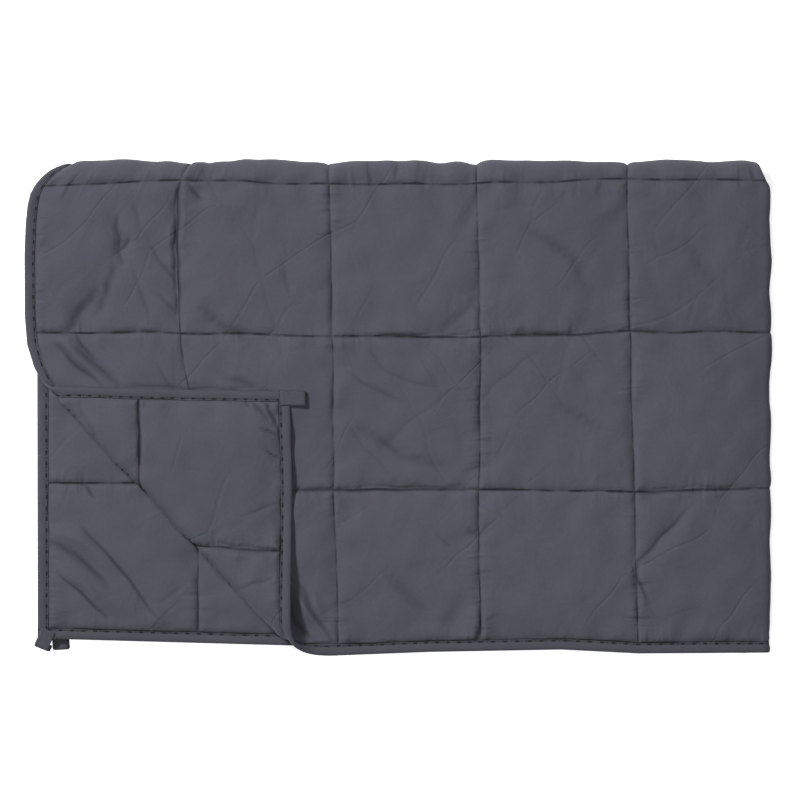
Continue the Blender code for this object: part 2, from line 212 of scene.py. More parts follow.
# %% The corner that is turned back
def turn_back(u, v, w):
    """Roll the top layer's corner over its diagonal line and lay it down on the layer."""
    from_start_u = u - TURN_LINE_START[0]
    from_start_v = v - TURN_LINE_START[1]
    along = from_start_u * TURN_ALONG[0] + from_start_v * TURN_ALONG[1]
    across = from_start_u * TURN_ACROSS[0] + from_start_v * TURN_ACROSS[1]
    half_width = look_up(ROLL, along)
    half_height = look_up(ROLL, along, 2)
    run = half_width + ROLL_SKIN - across
    angle = np.clip(run / half_width, 0, math.pi)
    beyond = np.maximum(0, run - math.pi * half_width)
    out = half_height * np.sin(angle)
    up = half_width * np.cos(angle)
    length = np.hypot(out, up)
    offset = half_width + ROLL_SKIN - half_width * np.sin(angle) + out / length * w
    rise = half_height * (1 - np.cos(angle)) + up / length * w
    rise = rise - smooth(beyond, 0.0, FLAP_SETTLE) * (2 * half_height - LAYER_PITCH)
    along = along + beyond * FLAP_SKEW
    offset = offset + beyond * FLAP_EASE
    turned_u = TURN_LINE_START[0] + TURN_ALONG[0] * along + TURN_ACROSS[0] * offset
    turned_v = TURN_LINE_START[1] + TURN_ALONG[1] * along + TURN_ACROSS[1] * offset
    turns = run > 0
    return (np.where(turns, turned_u, u), np.where(turns, turned_v, v),
            np.where(turns, rise, w), np.where(turns, np.abs(np.cos(angle)), 1))


print("the free corner lands at:", [round(float(x), 3) for x in turn_back(0.0, 0.0, 0.0)[:3]])

# %% The fold at the right-hand edge
def side_turn(u, v, w):
    """Fold the long side: x, level in its pair of layers, and how flat the cloth lies there."""
    lean = LEAN_AT_OPEN_EDGE * np.maximum(0, 1 - v / (SHEET_SHORT / 2))
    lean = lean * smooth(u, *LEAN_BLEND_U) * (1 - smooth(u, *LEAN_FADE_U))
    run = u - SIDE_TURN_U + lean
    outer_fade = np.maximum(0, 1 - u / OUTER_EDGE_FADE_U)
    inner_fade = smooth(u, *INNER_EDGE_BLEND_U)
    shift = look_up(OUTER_EDGE_SHIFT, v) * outer_fade + look_up(INNER_EDGE_SHIFT, v) * inner_fade
    angle = np.clip(run / SIDE_RADIUS, 0, math.pi)
    radius = SIDE_RADIUS + w
    past = np.maximum(0, run - SIDE_ARC)
    x = SIDE_TURN_X + np.minimum(run, 0) - past + radius * np.sin(angle) + shift
    return x, radius * np.cos(angle), np.abs(np.cos(angle))


# %% The fold at the top edge
def open_edge_lift(u, v):
    """Shift along +Y near the open edges, which don't lie exactly one over another."""
    near = np.maximum(0, 1 - v / OPEN_EDGE_REACH)
    far = np.maximum(0, 1 - (SHEET_SHORT - v) / OPEN_EDGE_REACH)
    lift = np.where(u < 1.0, look_up(OUTER_OPEN_LIFT, u), look_up(INNER_OPEN_LIFT, u))
    return np.where(v < SHEET_SHORT / 2, near * lift, far * THIRD_OPEN_LIFT)


def top_turn(u, v, level):
    """Fold the short side: y, z and how flat the cloth lies there."""
    inner = smooth(u, *INNER_BLEND_U)
    start = TOP_TURN_OUTER_V + inner * (TOP_TURN_INNER_V - TOP_TURN_OUTER_V)
    path_radius = LAYER_PITCH * (1.5 - inner)
    run = v - start
    angle = np.clip(run / path_radius, 0, math.pi)
    past = np.maximum(0, run - math.pi * path_radius)
    radius = LAYER_PITCH + level
    bent = (run > 0) & (past == 0)
    lift = np.where(bent, 0, open_edge_lift(u, v))
    y = TOP_TURN_Y + np.minimum(run, 0) - past + radius * np.sin(angle) + lift
    return y, 2 * LAYER_PITCH + radius * np.cos(angle), np.abs(np.cos(angle))


# %% How far the top layer's seams lie from a true grid
DRIFT_COLUMNS = [BINDING_WIDTH + number * POCKET_LONG for number in range(6)]
DRIFT_ROWS = [BINDING_WIDTH + number * POCKET_SHORT for number in range(4)]
DRIFT_U = (  # millimetres, a row for each crossing seam from the open edge up
    (0, 7.0, 7.0, -4.0, 5.0, 0),
    (0, 0, 3.5, -4.0, 4.0, 0),
    (0, -1.2, 5.2, 3.0, 1.3, 0),
    (0, -5.0, 3.9, 0.5, 0.9, 0),
)
DRIFT_V = (
    (0, 0, 0, 0, 0, 0),
    (0, 0, 0.6, 1.2, -2.0, 3.0),
    (4.0, 4.0, -0.5, -1.5, 5.0, 5.0),
    (-6.5, 2.3, -3.8, -3.0, 3.4, 1.0),
)
DRIFT_FADE_U = (0.98, 1.05)
DRIFT_FADE_V = (0.63, 0.70)
SWAY = 0.0010
SWAY_LENGTH = 0.11
SWAY_START = 0.05


def between_crossings(table, u, v):
    """Read a table of the seams' crossings between its rows and columns."""
    rows = [np.interp(u, DRIFT_COLUMNS, row) for row in table]
    place = np.clip((v - DRIFT_ROWS[0]) / POCKET_SHORT, 0, len(rows) - 1)
    shares = [np.maximum(0, 1 - np.abs(place - number)) for number in range(len(rows))]
    return sum(row * share for row, share in zip(rows, shares)) / 1000


def drift(u, v):
    """Where a flat point really lies: seams wander, and the thread draws them here and there."""
    kept = (1 - smooth(u, *DRIFT_FADE_U)) * (1 - smooth(v, *DRIFT_FADE_V))
    sway_u = SWAY * wave(v, u * 0.2, SWAY_LENGTH, 51) * smooth(u, 0.0, SWAY_START)
    sway_v = SWAY * wave(u, v * 0.2, SWAY_LENGTH, 52) * smooth(v, 0.0, SWAY_START)
    moved_u = kept * (between_crossings(DRIFT_U, u, v) + sway_u)
    moved_v = kept * (between_crossings(DRIFT_V, u, v) + sway_v)
    return u + moved_u, v + moved_v


print("the top seam at the left lies lower by", round(-DRIFT_V[3][0], 1), "mm")


# %% All folds together
CORNER_DRAW = 0.013
CORNER_DRAW_X = (0.440, 0.485)
CORNER_DRAW_Y = (0.284, 0.318)
SIDE_SWAY = 0.0014
SIDE_SWAY_LENGTH = 0.080


def fold(points):
    """Lay an array of flat points (u, v, w) into the folded stack, with nothing under the floor."""
    flat_u, flat_v, flat_w = points.T
    u, v = drift(flat_u, flat_v)
    u, v, w, turned_flat = turn_back(u, v, flat_w)
    x, level, side_flat = side_turn(u, v, w)
    y, z, top_flat = top_turn(u, v, level)
    droop = EDGE_DROOP * (1 - smooth(edge_distance(flat_u, flat_v), BINDING_WIDTH, DROOP_REACH))
    droop = droop * turned_flat * side_flat * top_flat
    by_side = smooth(x, *CORNER_DRAW_X)
    drawn = CORNER_DRAW * by_side * smooth(y, *CORNER_DRAW_Y)
    x = x - drawn + SIDE_SWAY * by_side * wave(y, z * 0.5, SIDE_SWAY_LENGTH, 53)
    return np.column_stack((x, y, np.maximum(z - droop + FLOOR_LIFT, 0)))


corners = [(u, v, 0) for u in (0.0, SHEET_LONG) for v in (0.0, SHEET_SHORT)]
print("the four corners land at:", fold(np.array(corners)).round(3).tolist())

# %% [markdown]
# ## The pockets, filled by a cloth simulation
#
# Each pocket is closed by stitching on four sides, and the thread draws the cloth in a little. The
# cloth between has more length than the seams leave room for, so it swells and puckers beside them.
# Those puckers could be drawn with noise, but noise doesn't know that they run square to the seam.
# So a quarter of the blanket is run as real cloth: its seams are pinned, its cells want to be 1.5%
# longer than they are, and a light pressure lifts it. Only the height of the result is kept.

# %% A flat quarter of the blanket, ready to be filled
TILE_COLUMNS = 5
TILE_ROWS = 3
CELLS = 36
ROUGH_RISE = 0.001
START_UNEVENNESS = 0.0012
random = np.random.default_rng(11)


def rough_start():
    """Low, soft bumps that decide where the cloth begins to buckle."""
    bumps = random.normal(0, 1, (TILE_COLUMNS * CELLS + 1, TILE_ROWS * CELLS + 1))
    for _ in range(6):
        beside = bumps[:-2, 1:-1] + bumps[2:, 1:-1] + bumps[1:-1, :-2] + bumps[1:-1, 2:]
        bumps[1:-1, 1:-1] = (bumps[1:-1, 1:-1] * 2 + beside) / 6
    return bumps / bumps.std() * START_UNEVENNESS


def flat_tile():
    """A grid over the quarter, one vertex to each crossing, pinned along the stitched lines."""
    shape = bmesh.new()
    bmesh.ops.create_grid(shape, x_segments=TILE_COLUMNS * CELLS, y_segments=TILE_ROWS * CELLS, size=0.5)
    tile = new_piece(shape, "pocket_fill")
    places = read_points(tile.data)
    column = np.rint((places[:, 0] + 0.5) * TILE_COLUMNS * CELLS).astype(int)
    row = np.rint((places[:, 1] + 0.5) * TILE_ROWS * CELLS).astype(int)
    sewn = (column % CELLS == 0) | (row % CELLS == 0)
    height = np.where(sewn, 0, rough_start()[column, row] + ROUGH_RISE)
    places = np.column_stack((column * POCKET_LONG / CELLS, row * POCKET_SHORT / CELLS, height))
    tile.data.vertices.foreach_set("co", places.ravel())
    pinned = tile.vertex_groups.new(name="sewn")
    pinned.add(np.nonzero(sewn)[0].tolist(), 1.0, "REPLACE")
    return tile, column, row


# %% Fill it, and keep only how high each point came to lie
FILL_FRAMES = 20
FILL_SETTINGS = {
    "vertex_group_mass": "sewn", "use_pressure": True, "uniform_pressure_force": 1.0,
    "shrink_min": -0.015, "mass": 0.005, "tension_stiffness": 5, "compression_stiffness": 5,
    "shear_stiffness": 1.25, "bending_stiffness": 5, "quality": 6,
}


def fill_tile():
    """Run the cloth and return its height at each crossing of the grid."""
    tile, column, row = flat_tile()
    cloth = tile.modifiers.new("Cloth", "CLOTH")
    for option, value in FILL_SETTINGS.items():
        setattr(cloth.settings, option, value)
    cloth.settings.effector_weights.gravity = 0
    cloth.point_cache.frame_end = FILL_FRAMES
    for number in range(1, FILL_FRAMES + 1):
        bpy.context.scene.frame_set(number)
    filled = tile.evaluated_get(bpy.context.evaluated_depsgraph_get()).data
    height = np.zeros((TILE_COLUMNS * CELLS + 1, TILE_ROWS * CELLS + 1))
    height[column, row] = read_points(filled)[:, 2]
    mesh = tile.data
    bpy.data.objects.remove(tile)
    bpy.data.meshes.remove(mesh)
    bpy.context.scene.frame_set(1)
    return height


fill = fill_tile()
print("the fill rises to", round(fill.max() * 1000, 1), "mm before it is held down")

# %% [markdown]
# ## Reading the fill anywhere on the blanket
#
# The tile covers one quarter. The other quarters and the backing read it mirrored, which no one sees
# at once, because the layers hide each other. A low shoulder is added beside each seam, where the
# real cloth rises steeply. The weight of the fill holds the pockets down, so the height is bent over
# softly to a limit, as if a flat hand had smoothed it.

# %% The height of the cloth over the sheet's middle
SWELL_SHARE = 0.85
TOP_LIMIT = 0.0066
HIDDEN_LIMIT = 0.0036
SHOULDER_RISE = 0.0028
SHOULDER_REACH = 0.0055
FACE_SEEN = (1.0, 0.65)
BACKING_SEEN_V = 0.45
BACKING_HIDDEN_U = (0.45, 1.55)


def read_tile(column, row):
    """The fill's height between the tile's crossings, by blending the four nearest."""
    low_column = np.clip(np.floor(column).astype(int), 0, fill.shape[0] - 2)
    low_row = np.clip(np.floor(row).astype(int), 0, fill.shape[1] - 2)
    across = np.clip(column - low_column, 0, 1)
    up = np.clip(row - low_row, 0, 1)
    near = fill[low_column, low_row] * (1 - across) + fill[low_column + 1, low_row] * across
    far = fill[low_column, low_row + 1] * (1 - across) + fill[low_column + 1, low_row + 1] * across
    return near * (1 - up) + far * up


def seen_from_above(u, v, side):
    """The top layer's face, and the backing of the turned corner and of the layer it uncovers."""
    face = (side > 0) & (u < FACE_SEEN[0]) & (v < FACE_SEEN[1])
    by_ends = (u < BACKING_HIDDEN_U[0]) | (u > BACKING_HIDDEN_U[1])
    return face | ((side < 0) & (v < BACKING_SEEN_V) & by_ends)


def swell(u, v, side):
    """How far the cloth of one side lies off the sheet's middle, before any crease."""
    column = (u - BINDING_WIDTH) / POCKET_LONG
    row = (v - BINDING_WIDTH) / POCKET_SHORT
    column = np.where(column > TILE_COLUMNS, 2 * TILE_COLUMNS - column, column)
    row = np.where(row > TILE_ROWS, 2 * TILE_ROWS - row, row)
    column = np.where(side < 0, TILE_COLUMNS - column, column)
    row = np.where(side < 0, TILE_ROWS - row, row)
    off_seam = np.minimum(np.abs(column - np.rint(column)) * POCKET_LONG,
                          np.abs(row - np.rint(row)) * POCKET_SHORT)
    shoulder = SHOULDER_RISE * (1 - np.exp(-off_seam / SHOULDER_REACH))
    raw = read_tile(column * CELLS, row * CELLS) * SWELL_SHARE + shoulder
    limit = np.where(seen_from_above(u, v, side), TOP_LIMIT, HIDDEN_LIMIT)
    return SEAM_HALF + limit * np.tanh(raw / limit)


middle = np.array([[BINDING_WIDTH + POCKET_LONG / 2], [BINDING_WIDTH + POCKET_SHORT / 2], [1]])
print("half thickness in a pocket:", (swell(*middle) * 1000).round(1), "mm")

# %% [markdown]
# ## The main creases, listed one by one
#
# A simulation gives the blanket its character, but not the very creases that this one has. Those are
# listed one by one, each as a short line of places on the flat blanket with a half width and a depth. A
# negative depth is a ridge. Across its line a crease is sharp in the middle and dies out softly, like
# cloth that was pressed, and along it the depth grows and fades, so nothing starts abruptly. What
# lies deep in a narrow crease gets little light, so each point also remembers how deep it lies, and
# the finish paints shade there by darkening the colour.

# %% Creases of the face and of the backing
FACE_CREASES = (  # half width, depth, and u, v of each place along it, all in millimetres
    # the forked crease in the upper left pocket, and what runs down from it
    (5.5, 6.2, 126, 569, 125, 553, 130, 539, 129, 526, 134, 508),
    (5, 5.2, 144, 540, 137, 530, 129, 526),
    (12, 3.6, 124, 507, 113, 480, 99, 445),
    (15, 3.6, 97, 476, 77, 449, 52, 416),
    (10, -2.8, 129, 490, 116, 460, 112, 427),
    # fainter ones beside it and in the upper pockets
    (6, 1.2, 146, 587, 160, 550),
    (7, 1.6, 172, 527, 192, 503, 208, 477),
    (6, 1.4, 183, 466, 207, 442),
    (6, 1.2, 147, 497, 162, 458, 168, 425),
    (5, 1.2, 344, 509, 351, 466),
    (12, 1.8, 236, 455, 263, 427, 293, 414),
    (13, 1.6, 590, 468, 567, 441, 542, 422),
    # beside the turned corner
    (7.5, 6, 40, 400, 62, 372, 84, 350),
    (7.5, -4, 50, 404, 73, 376, 90, 352),
    (5, 6.6, 72, 392, 92, 369, 110, 349),
    (4.5, 2.2, 104, 348, 170, 347, 290, 346),
    (5, 3.2, 66, 416, 86, 382),
    (6, 1.4, 176, 368, 186, 342),
    (13, -1.8, 285, 381, 337, 369, 403, 347),
    (12, 1.6, 257, 362, 328, 340),
    # the bent crease in the lower right pocket
    (6, 3, 863, 191, 844, 169, 793, 118),
    (5.5, 2.8, 794, 120, 794, 102, 811, 69),
    (13, -1.4, 870, 167, 835, 129, 810, 104),
    # short and broad ones in the middle and at the top fold
    (5, 1.3, 544, 157, 562, 139),
    (5, 1.3, 581, 161, 600, 156),
    (5, 1.3, 615, 172, 598, 154),
    (6, 1.6, 458, 648, 456, 622),
    (6, 1.8, 495, 648, 492, 621),
    (6, 1.4, 524, 648, 522, 621),
    (14, 1.4, 659, 561, 717, 519, 742, 467),
    (15, 1.2, 868, 537, 902, 475),
    (15, 1.4, 442, 299, 492, 259, 554, 249),
    (14, 1.2, 695, 329, 753, 299),
    (15, 1.2, 469, 109, 520, 56),
    # where seams are drawn in hard, with painted shade along them, and the cloth beside them
    (5.5, 4, 209, 606, 209, 540, 209, 440),
    (6, -2.2, 218, 600, 216, 530),
    (5.5, -1.8, 200, 560, 199, 480),
    (4.5, 3.4, 800, 214.7, 860, 214.7, 940, 214.7),
    (4.5, 3, 470, 415.3, 520, 415.3, 580, 415.3),
    (4.5, 3, 350, 214.7, 460, 214.7, 580, 214.7),
    (4.5, 2.6, 640, 415.3, 720, 415.3, 780, 415.3),
    (7, -3, 235, 606, 262, 585, 300, 580),
    (5, 2.6, 225, 610, 240, 590),
    # thin ones from packing
    (5, 1.3, 420, 372, 445, 352, 500, 330),
    (3.5, 1.2, 452, 398, 470, 372, 500, 358, 545, 350),
    (3, 0.8, 452, 255, 500, 300, 560, 345, 590, 352),
    (3, 1, 602, 330, 625, 362, 670, 392),
    (3, 0.8, 480, 235, 445, 270, 425, 300),
    # beside the curl at the end of the turned edge
    (7, 7.2, 338, 100, 346, 46, 370, 21),
    (5.5, -5.8, 351, 82, 367, 52, 388, 25),
    (5, 5, 358, 90, 376, 51, 396, 21),
    (5, -4, 374, 78, 391, 37),
)
BACKING_CREASES = (
    # the folds of the second layer
    (8, -3.5, 1962, 156, 1924, 135, 1886, 106),
    (8, -3.5, 1962, 112, 1924, 78, 1888, 42),
    (7, -2.9, 1888, 118, 1859, 78, 1824, 34),
    (11, 3.4, 1960, 134, 1920, 108, 1890, 74),
    (5.5, 3.4, 1920, 153, 1876, 105, 1827, 36),
    (5, 2.8, 1950, 89, 1889, 31),
    (6, 2.2, 1920, 217, 1904, 195),
    # the seams of the turned corner, and thin creases beside them
    (3.5, 1.8, 16, 214, 50, 215, 90, 213),
    (4.8, 3.6, 209, 118, 210, 70, 209, 20),
    (7, -2.6, 219, 100, 220, 30),
    (3.2, 1.6, 167, 68, 146, 18),
    (3.2, 1.8, 262, 81, 243, 25),
    (4.5, 3.4, 206, 225, 209, 262),
    # a thin one on it, and the gathers at its tip
    (3.5, 1.2, 24, 300, 60, 280, 100, 272),
    (3.2, 4, 16, 48, 27, 38, 39, 29),
    (3.2, 4, 17, 31, 30, 25, 48, 16),
    (3, 3, 16, 61, 24, 55),
    (3, 3.2, 49, 39, 60, 16),
    (3, 2.6, 79, 36, 88, 16),
    (4, -1.6, 20, 40, 40, 22),
)
CREASE_REACH = 5.0
CREASE_ROUNDING = 0.25
CREASE_START = 0.10
CREASE_FULLNESS = 0.7
CREASE_WANDER = 0.0018
WANDER_LENGTH = 0.040
SHADE_DEPTH = 0.0026
SHADE_SHARE = 0.3
SHADE_REACH = 0.0006
creases = [(side, half_width / 1000, depth / 1000, np.array(places).reshape(-1, 2) / 1000)
           for side, rows in ((1, FACE_CREASES), (-1, BACKING_CREASES))
           for half_width, depth, *places in rows]


def nearest_on_line(points, places):
    """Distance of each point to a line of places, and the share of the line's length at that spot."""
    lengths = np.linalg.norm(np.diff(places, axis=0), axis=1)
    best = np.full(len(points), 1e9)
    share = np.zeros(len(points))
    for number, length in enumerate(lengths):
        start = places[number]
        step = (places[number + 1] - start) / length
        run = np.clip((points - start) @ step, 0, length)
        apart = np.linalg.norm(points - start - run[:, None] * step, axis=1)
        nearer = apart < best
        best[nearer] = apart[nearer]
        share[nearer] = (lengths[:number].sum() + run[nearer]) / lengths.sum()
    return best, share


def near_crease(u, v, side, half_width, places, reach):
    """Which points lie in the box round one crease of their side."""
    low = places.min(axis=0) - reach * half_width
    high = places.max(axis=0) + reach * half_width
    return side & (u > low[0]) & (u < high[0]) & (v > low[1]) & (v < high[1])


def crease_relief(u, v, side):
    """How far the creases pull in the cloth at each point, and how much painted shade its colour gets
    there.
    """
    relief = np.zeros(len(u))
    shade = np.zeros(len(u))
    u = u + CREASE_WANDER * wave(u, v, WANDER_LENGTH, 61)
    v = v + CREASE_WANDER * wave(u, v, WANDER_LENGTH, 62)
    for crease_side, half_width, depth, places in creases:
        near = near_crease(u, v, side == crease_side, half_width, places, CREASE_REACH)
        apart, share = nearest_on_line(np.column_stack((u[near], v[near])), places)
        along = np.sin(np.pi * (CREASE_START + (1 - 2 * CREASE_START) * share)) ** CREASE_FULLNESS
        rounding = CREASE_ROUNDING * half_width
        fall = (np.sqrt(apart ** 2 + rounding ** 2) - rounding) / half_width
        relief[near] += depth * along * np.exp(-fall)
        # Painted shade: how much the colour is darkened in the deep middle of a crease.
        core = np.exp(-(apart / (SHADE_SHARE * half_width + SHADE_REACH)) ** 2)
        shade[near] = np.maximum(shade[near], along * core * min(1, max(0, depth / SHADE_DEPTH)))
    return relief, shade


print("creases placed by hand:", len(creases))

# %% [markdown]
# ## Puckers and soft unevenness
#
# Close to the binding and the stitched lines the cloth is drawn into short folds that run square to
# the seam. The simulation makes most of them. Along the binding, where a long band is sewn on, they
# are finer and more regular, so a row of them is added there. The whole cloth also lies a little
# unevenly over the layers below it.

# %% The puckers along the binding
PUCKER_HEIGHT = 0.0011
PUCKER_LENGTH = 0.019
PUCKER_START = 0.004
PUCKER_FADE = 0.014


def binding_puckers(u, v, side):
    """Short folds square to the binding, strongest at its seam and all but gone 40 mm further in."""
    relief = np.zeros(len(u))
    edges = ((u, v, 21), (SHEET_LONG - u, v, 22), (v, u, 23), (SHEET_SHORT - v, u, 24))
    for distance, run, seed in edges:
        inside = np.maximum(0, distance - BINDING_WIDTH)
        fade = np.exp(-inside / PUCKER_FADE) * np.minimum(1, inside / PUCKER_START)
        relief += PUCKER_HEIGHT * fade * wave(run, inside * 0.35 + side * 0.5, PUCKER_LENGTH, seed)
    return relief


print("height of the puckers by the binding:", PUCKER_HEIGHT * 1000, "mm")

# %% [markdown]
# ## The quilted panel
#
# The panel is one closed shape. A grid gets its rows and columns close together beside each stitched
# line, where the cloth dips into a tight channel, and further apart in the middle of a pocket. The
# hidden layers get a coarser grid, and the squares round each narrow crease are cut finer. Extruding
# the grid makes the backing and the face with a wall between them, and then each point is given its
# height and folded.

# %% Rows and columns of the quilt's grid
SEAM_STEPS = (0.0, 0.0016, 0.0042, 0.0080, 0.0125)
EDGE_STEPS = (0.0032, 0.0085)
LEAST_STEP = 0.0009
SIDE_BEND = [SIDE_TURN_U - 0.008 + 0.0022 * step for step in range(13)]
TOP_BEND = [0.612 + 0.0036 * step for step in range(20)]
FINE_STEP = 0.0076
COARSE_STEP = 0.0220


def stations(count, pitch, fine_pockets, length, bend_places):
    """Places of the grid lines along one side: close at the seams, and fine where it shows."""
    lines = [*EDGE_STEPS, *(length - step for step in EDGE_STEPS)]
    for number in range(count):
        start = BINDING_WIDTH + number * pitch
        fine = number in fine_pockets
        steps = SEAM_STEPS if fine else SEAM_STEPS[::2]
        lines += [start + step for step in steps] + [start + pitch - step for step in steps[1:]]
        middle = pitch - 2 * steps[-1]
        parts = round(middle / (FINE_STEP if fine else COARSE_STEP))
        lines += [start + steps[-1] + middle * part / parts for part in range(1, parts)]
    lines = sorted(lines + [BINDING_WIDTH + count * pitch] + bend_places)
    kept = [lines[0]]
    for line in lines[1:]:
        if line - kept[-1] > LEAST_STEP:
            kept.append(line)
    return np.array(kept)


lines_u = stations(POCKETS_LONG, POCKET_LONG, {0, 1, 2, 3, 4, 8, 9}, SHEET_LONG, SIDE_BEND)
lines_v = stations(POCKETS_SHORT, POCKET_SHORT, {0, 1, 2}, SHEET_SHORT, TOP_BEND)
print("grid lines:", len(lines_u), "by", len(lines_v))

# %% Model the quilt flat, and fold it
NARROW_CREASE = 0.0080
FINE_REACH = 0.0085
POCKET_START = 0.0025
UNEVEN_WAVES = ((0.0008, 0.050, 31), (0.0010, 0.11, 32))  # height, length, seed
LEAST_RISE = SEAM_HALF * 0.8
SIDE_CALM = 0.6
SIDE_CALM_REACH = 0.030
BINDING_RAMP = 0.0030


def flat_grid(columns, rows):
    """A grid and its extruded copy, joined by a wall all round: a thin closed sheet."""
    shape = bmesh.new()
    bmesh.ops.create_grid(shape, x_segments=len(columns) - 1, y_segments=len(rows) - 1, size=0.5)
    raised = bmesh.ops.extrude_face_region(shape, geom=shape.faces[:] + shape.edges[:] + shape.verts[:])
    corners = [item for item in raised["geom"] if isinstance(item, bmesh.types.BMVert)]
    bmesh.ops.translate(shape, vec=(0, 0, 1), verts=corners)
    bmesh.ops.recalc_face_normals(shape, faces=shape.faces)
    for corner in shape.verts:
        column = round((corner.co.x + 0.5) * (len(columns) - 1))
        row = round((corner.co.y + 0.5) * (len(rows) - 1))
        corner.co = (columns[column], rows[row], 2 * round(corner.co.z) - 1)
    return shape


def cut_finer(shape):
    """Cut the squares round each narrow crease into nine."""
    middles = np.array([(edge.verts[0].co + edge.verts[1].co) / 2 for edge in shape.edges])
    chosen = np.zeros(len(middles), bool)
    for crease_side, half_width, _, places in creases:
        if half_width > NARROW_CREASE:
            continue
        own_side = np.abs(middles[:, 2] - crease_side) < 0.1
        near = near_crease(middles[:, 0], middles[:, 1], own_side, FINE_REACH, places, 1.0)
        apart, _ = nearest_on_line(middles[near, :2], places)
        chosen[np.nonzero(near)[0][apart < FINE_REACH]] = True
    edges = [edge for edge, is_near in zip(shape.edges, chosen) if is_near]
    bmesh.ops.subdivide_edges(shape, edges=edges, cuts=2, use_grid_fill=True)
    return len(edges)


def keep_flat_places(mesh, flat):
    """Remember each vertex's flat place as a UV map in metres, for patterns that follow the cloth."""
    layer = mesh.uv_layers.new(name="flat")
    at = np.empty(len(mesh.loops), dtype=np.int32)
    mesh.loops.foreach_get("vertex_index", at)
    layer.data.foreach_set("uv", flat[at, :2].astype(np.float32).ravel())


def quilt_height(u, v, side, pulled_in):
    """Signed height of the quilt's two cloths over the middle of the sheet."""
    rise = swell(u, v, side) + binding_puckers(u, v, side)
    pocket = np.minimum(1, np.maximum(0, rise - SEAM_HALF) / POCKET_START)
    for height, length, seed in UNEVEN_WAVES:
        rise = rise + height * pocket * wave(u, v, length, seed)
    rise = np.maximum(LEAST_RISE, rise - pulled_in)
    on_side_turn = np.exp(-((u - SHEET_LONG / 2) / SIDE_CALM_REACH) ** 2)
    rise = rise - SIDE_CALM * on_side_turn * (rise - SEAM_HALF)
    rise = np.where(seen_from_above(u, v, side), rise, np.minimum(rise, POCKET_HALF))
    under_binding = smooth(edge_distance(u, v) - BINDING_WIDTH, 0.0, BINDING_RAMP)
    return side * (BORDER_HALF + under_binding * (rise - BORDER_HALF))


shape = flat_grid(lines_u, lines_v)
print("edges cut finer near the creases:", cut_finer(shape))
quilt = new_piece(shape, "quilted_cloth")
u, v, side = read_points(quilt.data).T
side = np.sign(side).astype(int)
pulled_in, shade = crease_relief(u, v, side)
flat = np.column_stack((u, v, quilt_height(u, v, side, pulled_in)))
quilt.data.vertices.foreach_set("co", fold(flat).ravel())
quilt.data.attributes.new("crease_shade", "FLOAT", "POINT").data.foreach_set("value", shade)
keep_flat_places(quilt.data, flat)
quilt.data.update()
print("quilt:", len(quilt.data.polygons), "faces")
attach(quilt, "root")
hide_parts("quilted_panel")

# %% [markdown]
# ## The binding
#
# The binding is a band of the same cloth folded over the raw edge and sewn through at its inner side.
# It is a long sheet, so it is modelled as a thin closed strip with a wall of its own: a profile that
# goes round the edge is repeated along the side. It bulges between its seam and its fold, and it is
# never quite even, because the stitching pulls it in more at one place than at another.

# %% The profile of a folded band
BINDING_WALL = 0.0008
PROFILE = (  # distance from the folded edge, height over the sheet's middle
    (0.0140, 0.0021), (0.0131, 0.0019), (0.0120, 0.0017), (0.0106, 0.0021), (0.0084, 0.0027),
    (0.0058, 0.0030), (0.0032, 0.0029), (0.0013, 0.0022), (0.0003, 0.0011), (0.0000, 0.0000),
)
BINDING_STEP = 0.0050
INNER_REACH = 0.0018
TUCK = 0.004
TUCK_SHARE = 0.4
LOOSE_FROM_SEAM = 0.0125
LOOSE_REACH = 0.006
BINDING_WAVES = ((0.16, 0.021, 41), (0.08, 0.065, 42))  # share of the height, length, seed
WIDTH_SWAY = 0.0009
WIDTH_SWAY_LENGTH = 0.060


def band_profile():
    """The band's closed section: round the outside from face to backing, and back along the inside."""
    outside = list(PROFILE) + [(distance, -height) for distance, height in reversed(PROFILE[:-1])]
    inside = []
    for distance, height in outside:
        inner_height = math.copysign(max(0.0, abs(height) - BINDING_WALL), height)
        inside.append((max(distance, INNER_REACH), inner_height))
    return np.array(outside + inside[::-1])


section = band_profile()
print("points round the band's section:", len(section))


# %% One strip of binding
def strip_of_binding(name, start, end, inward, tucked, replaced):
    """A band along one side, with inward into the blanket. A tucked one ends inside its neighbours."""
    along = np.array(end) - np.array(start)
    length = np.linalg.norm(along)
    along = along / length
    first = (BINDING_WIDTH - TUCK) * tucked
    rows = round((length - 2 * first) / BINDING_STEP)
    shape = bmesh.new()
    bmesh.ops.create_grid(shape, x_segments=rows, y_segments=len(section), size=0.5)
    piece = new_piece(shape, name)
    grid = read_points(piece.data)
    row = (grid[:, 0] + 0.5) * (length - 2 * first) + first
    place = np.rint((grid[:, 1] + 0.5) * len(section)).astype(int) % len(section)
    distance, height = section[place].T
    loose = np.clip((LOOSE_FROM_SEAM - distance) / LOOSE_REACH, 0, 1)
    uneven = 1 + loose * sum(share * wave(row, 0.0, pace, seed) for share, pace, seed in BINDING_WAVES)
    to_end = np.minimum(row, length - row) - first
    uneven = uneven * (1 - TUCK_SHARE * tucked * (1 - smooth(to_end, 0.0, TUCK)))
    sway = WIDTH_SWAY * wave(row, 0.0, WIDTH_SWAY_LENGTH, 43)
    distance = distance + sway * np.clip(distance / 0.004, 0, 1)
    flat = np.array(start) + row[:, None] * along + distance[:, None] * np.array(inward)
    flat = np.column_stack((flat, height * uneven))
    piece.data.vertices.foreach_set("co", fold(flat).ravel())
    keep_flat_places(piece.data, np.column_stack((row, distance)))
    close_strip(piece)
    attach(piece, "root")
    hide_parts(replaced)
    return piece


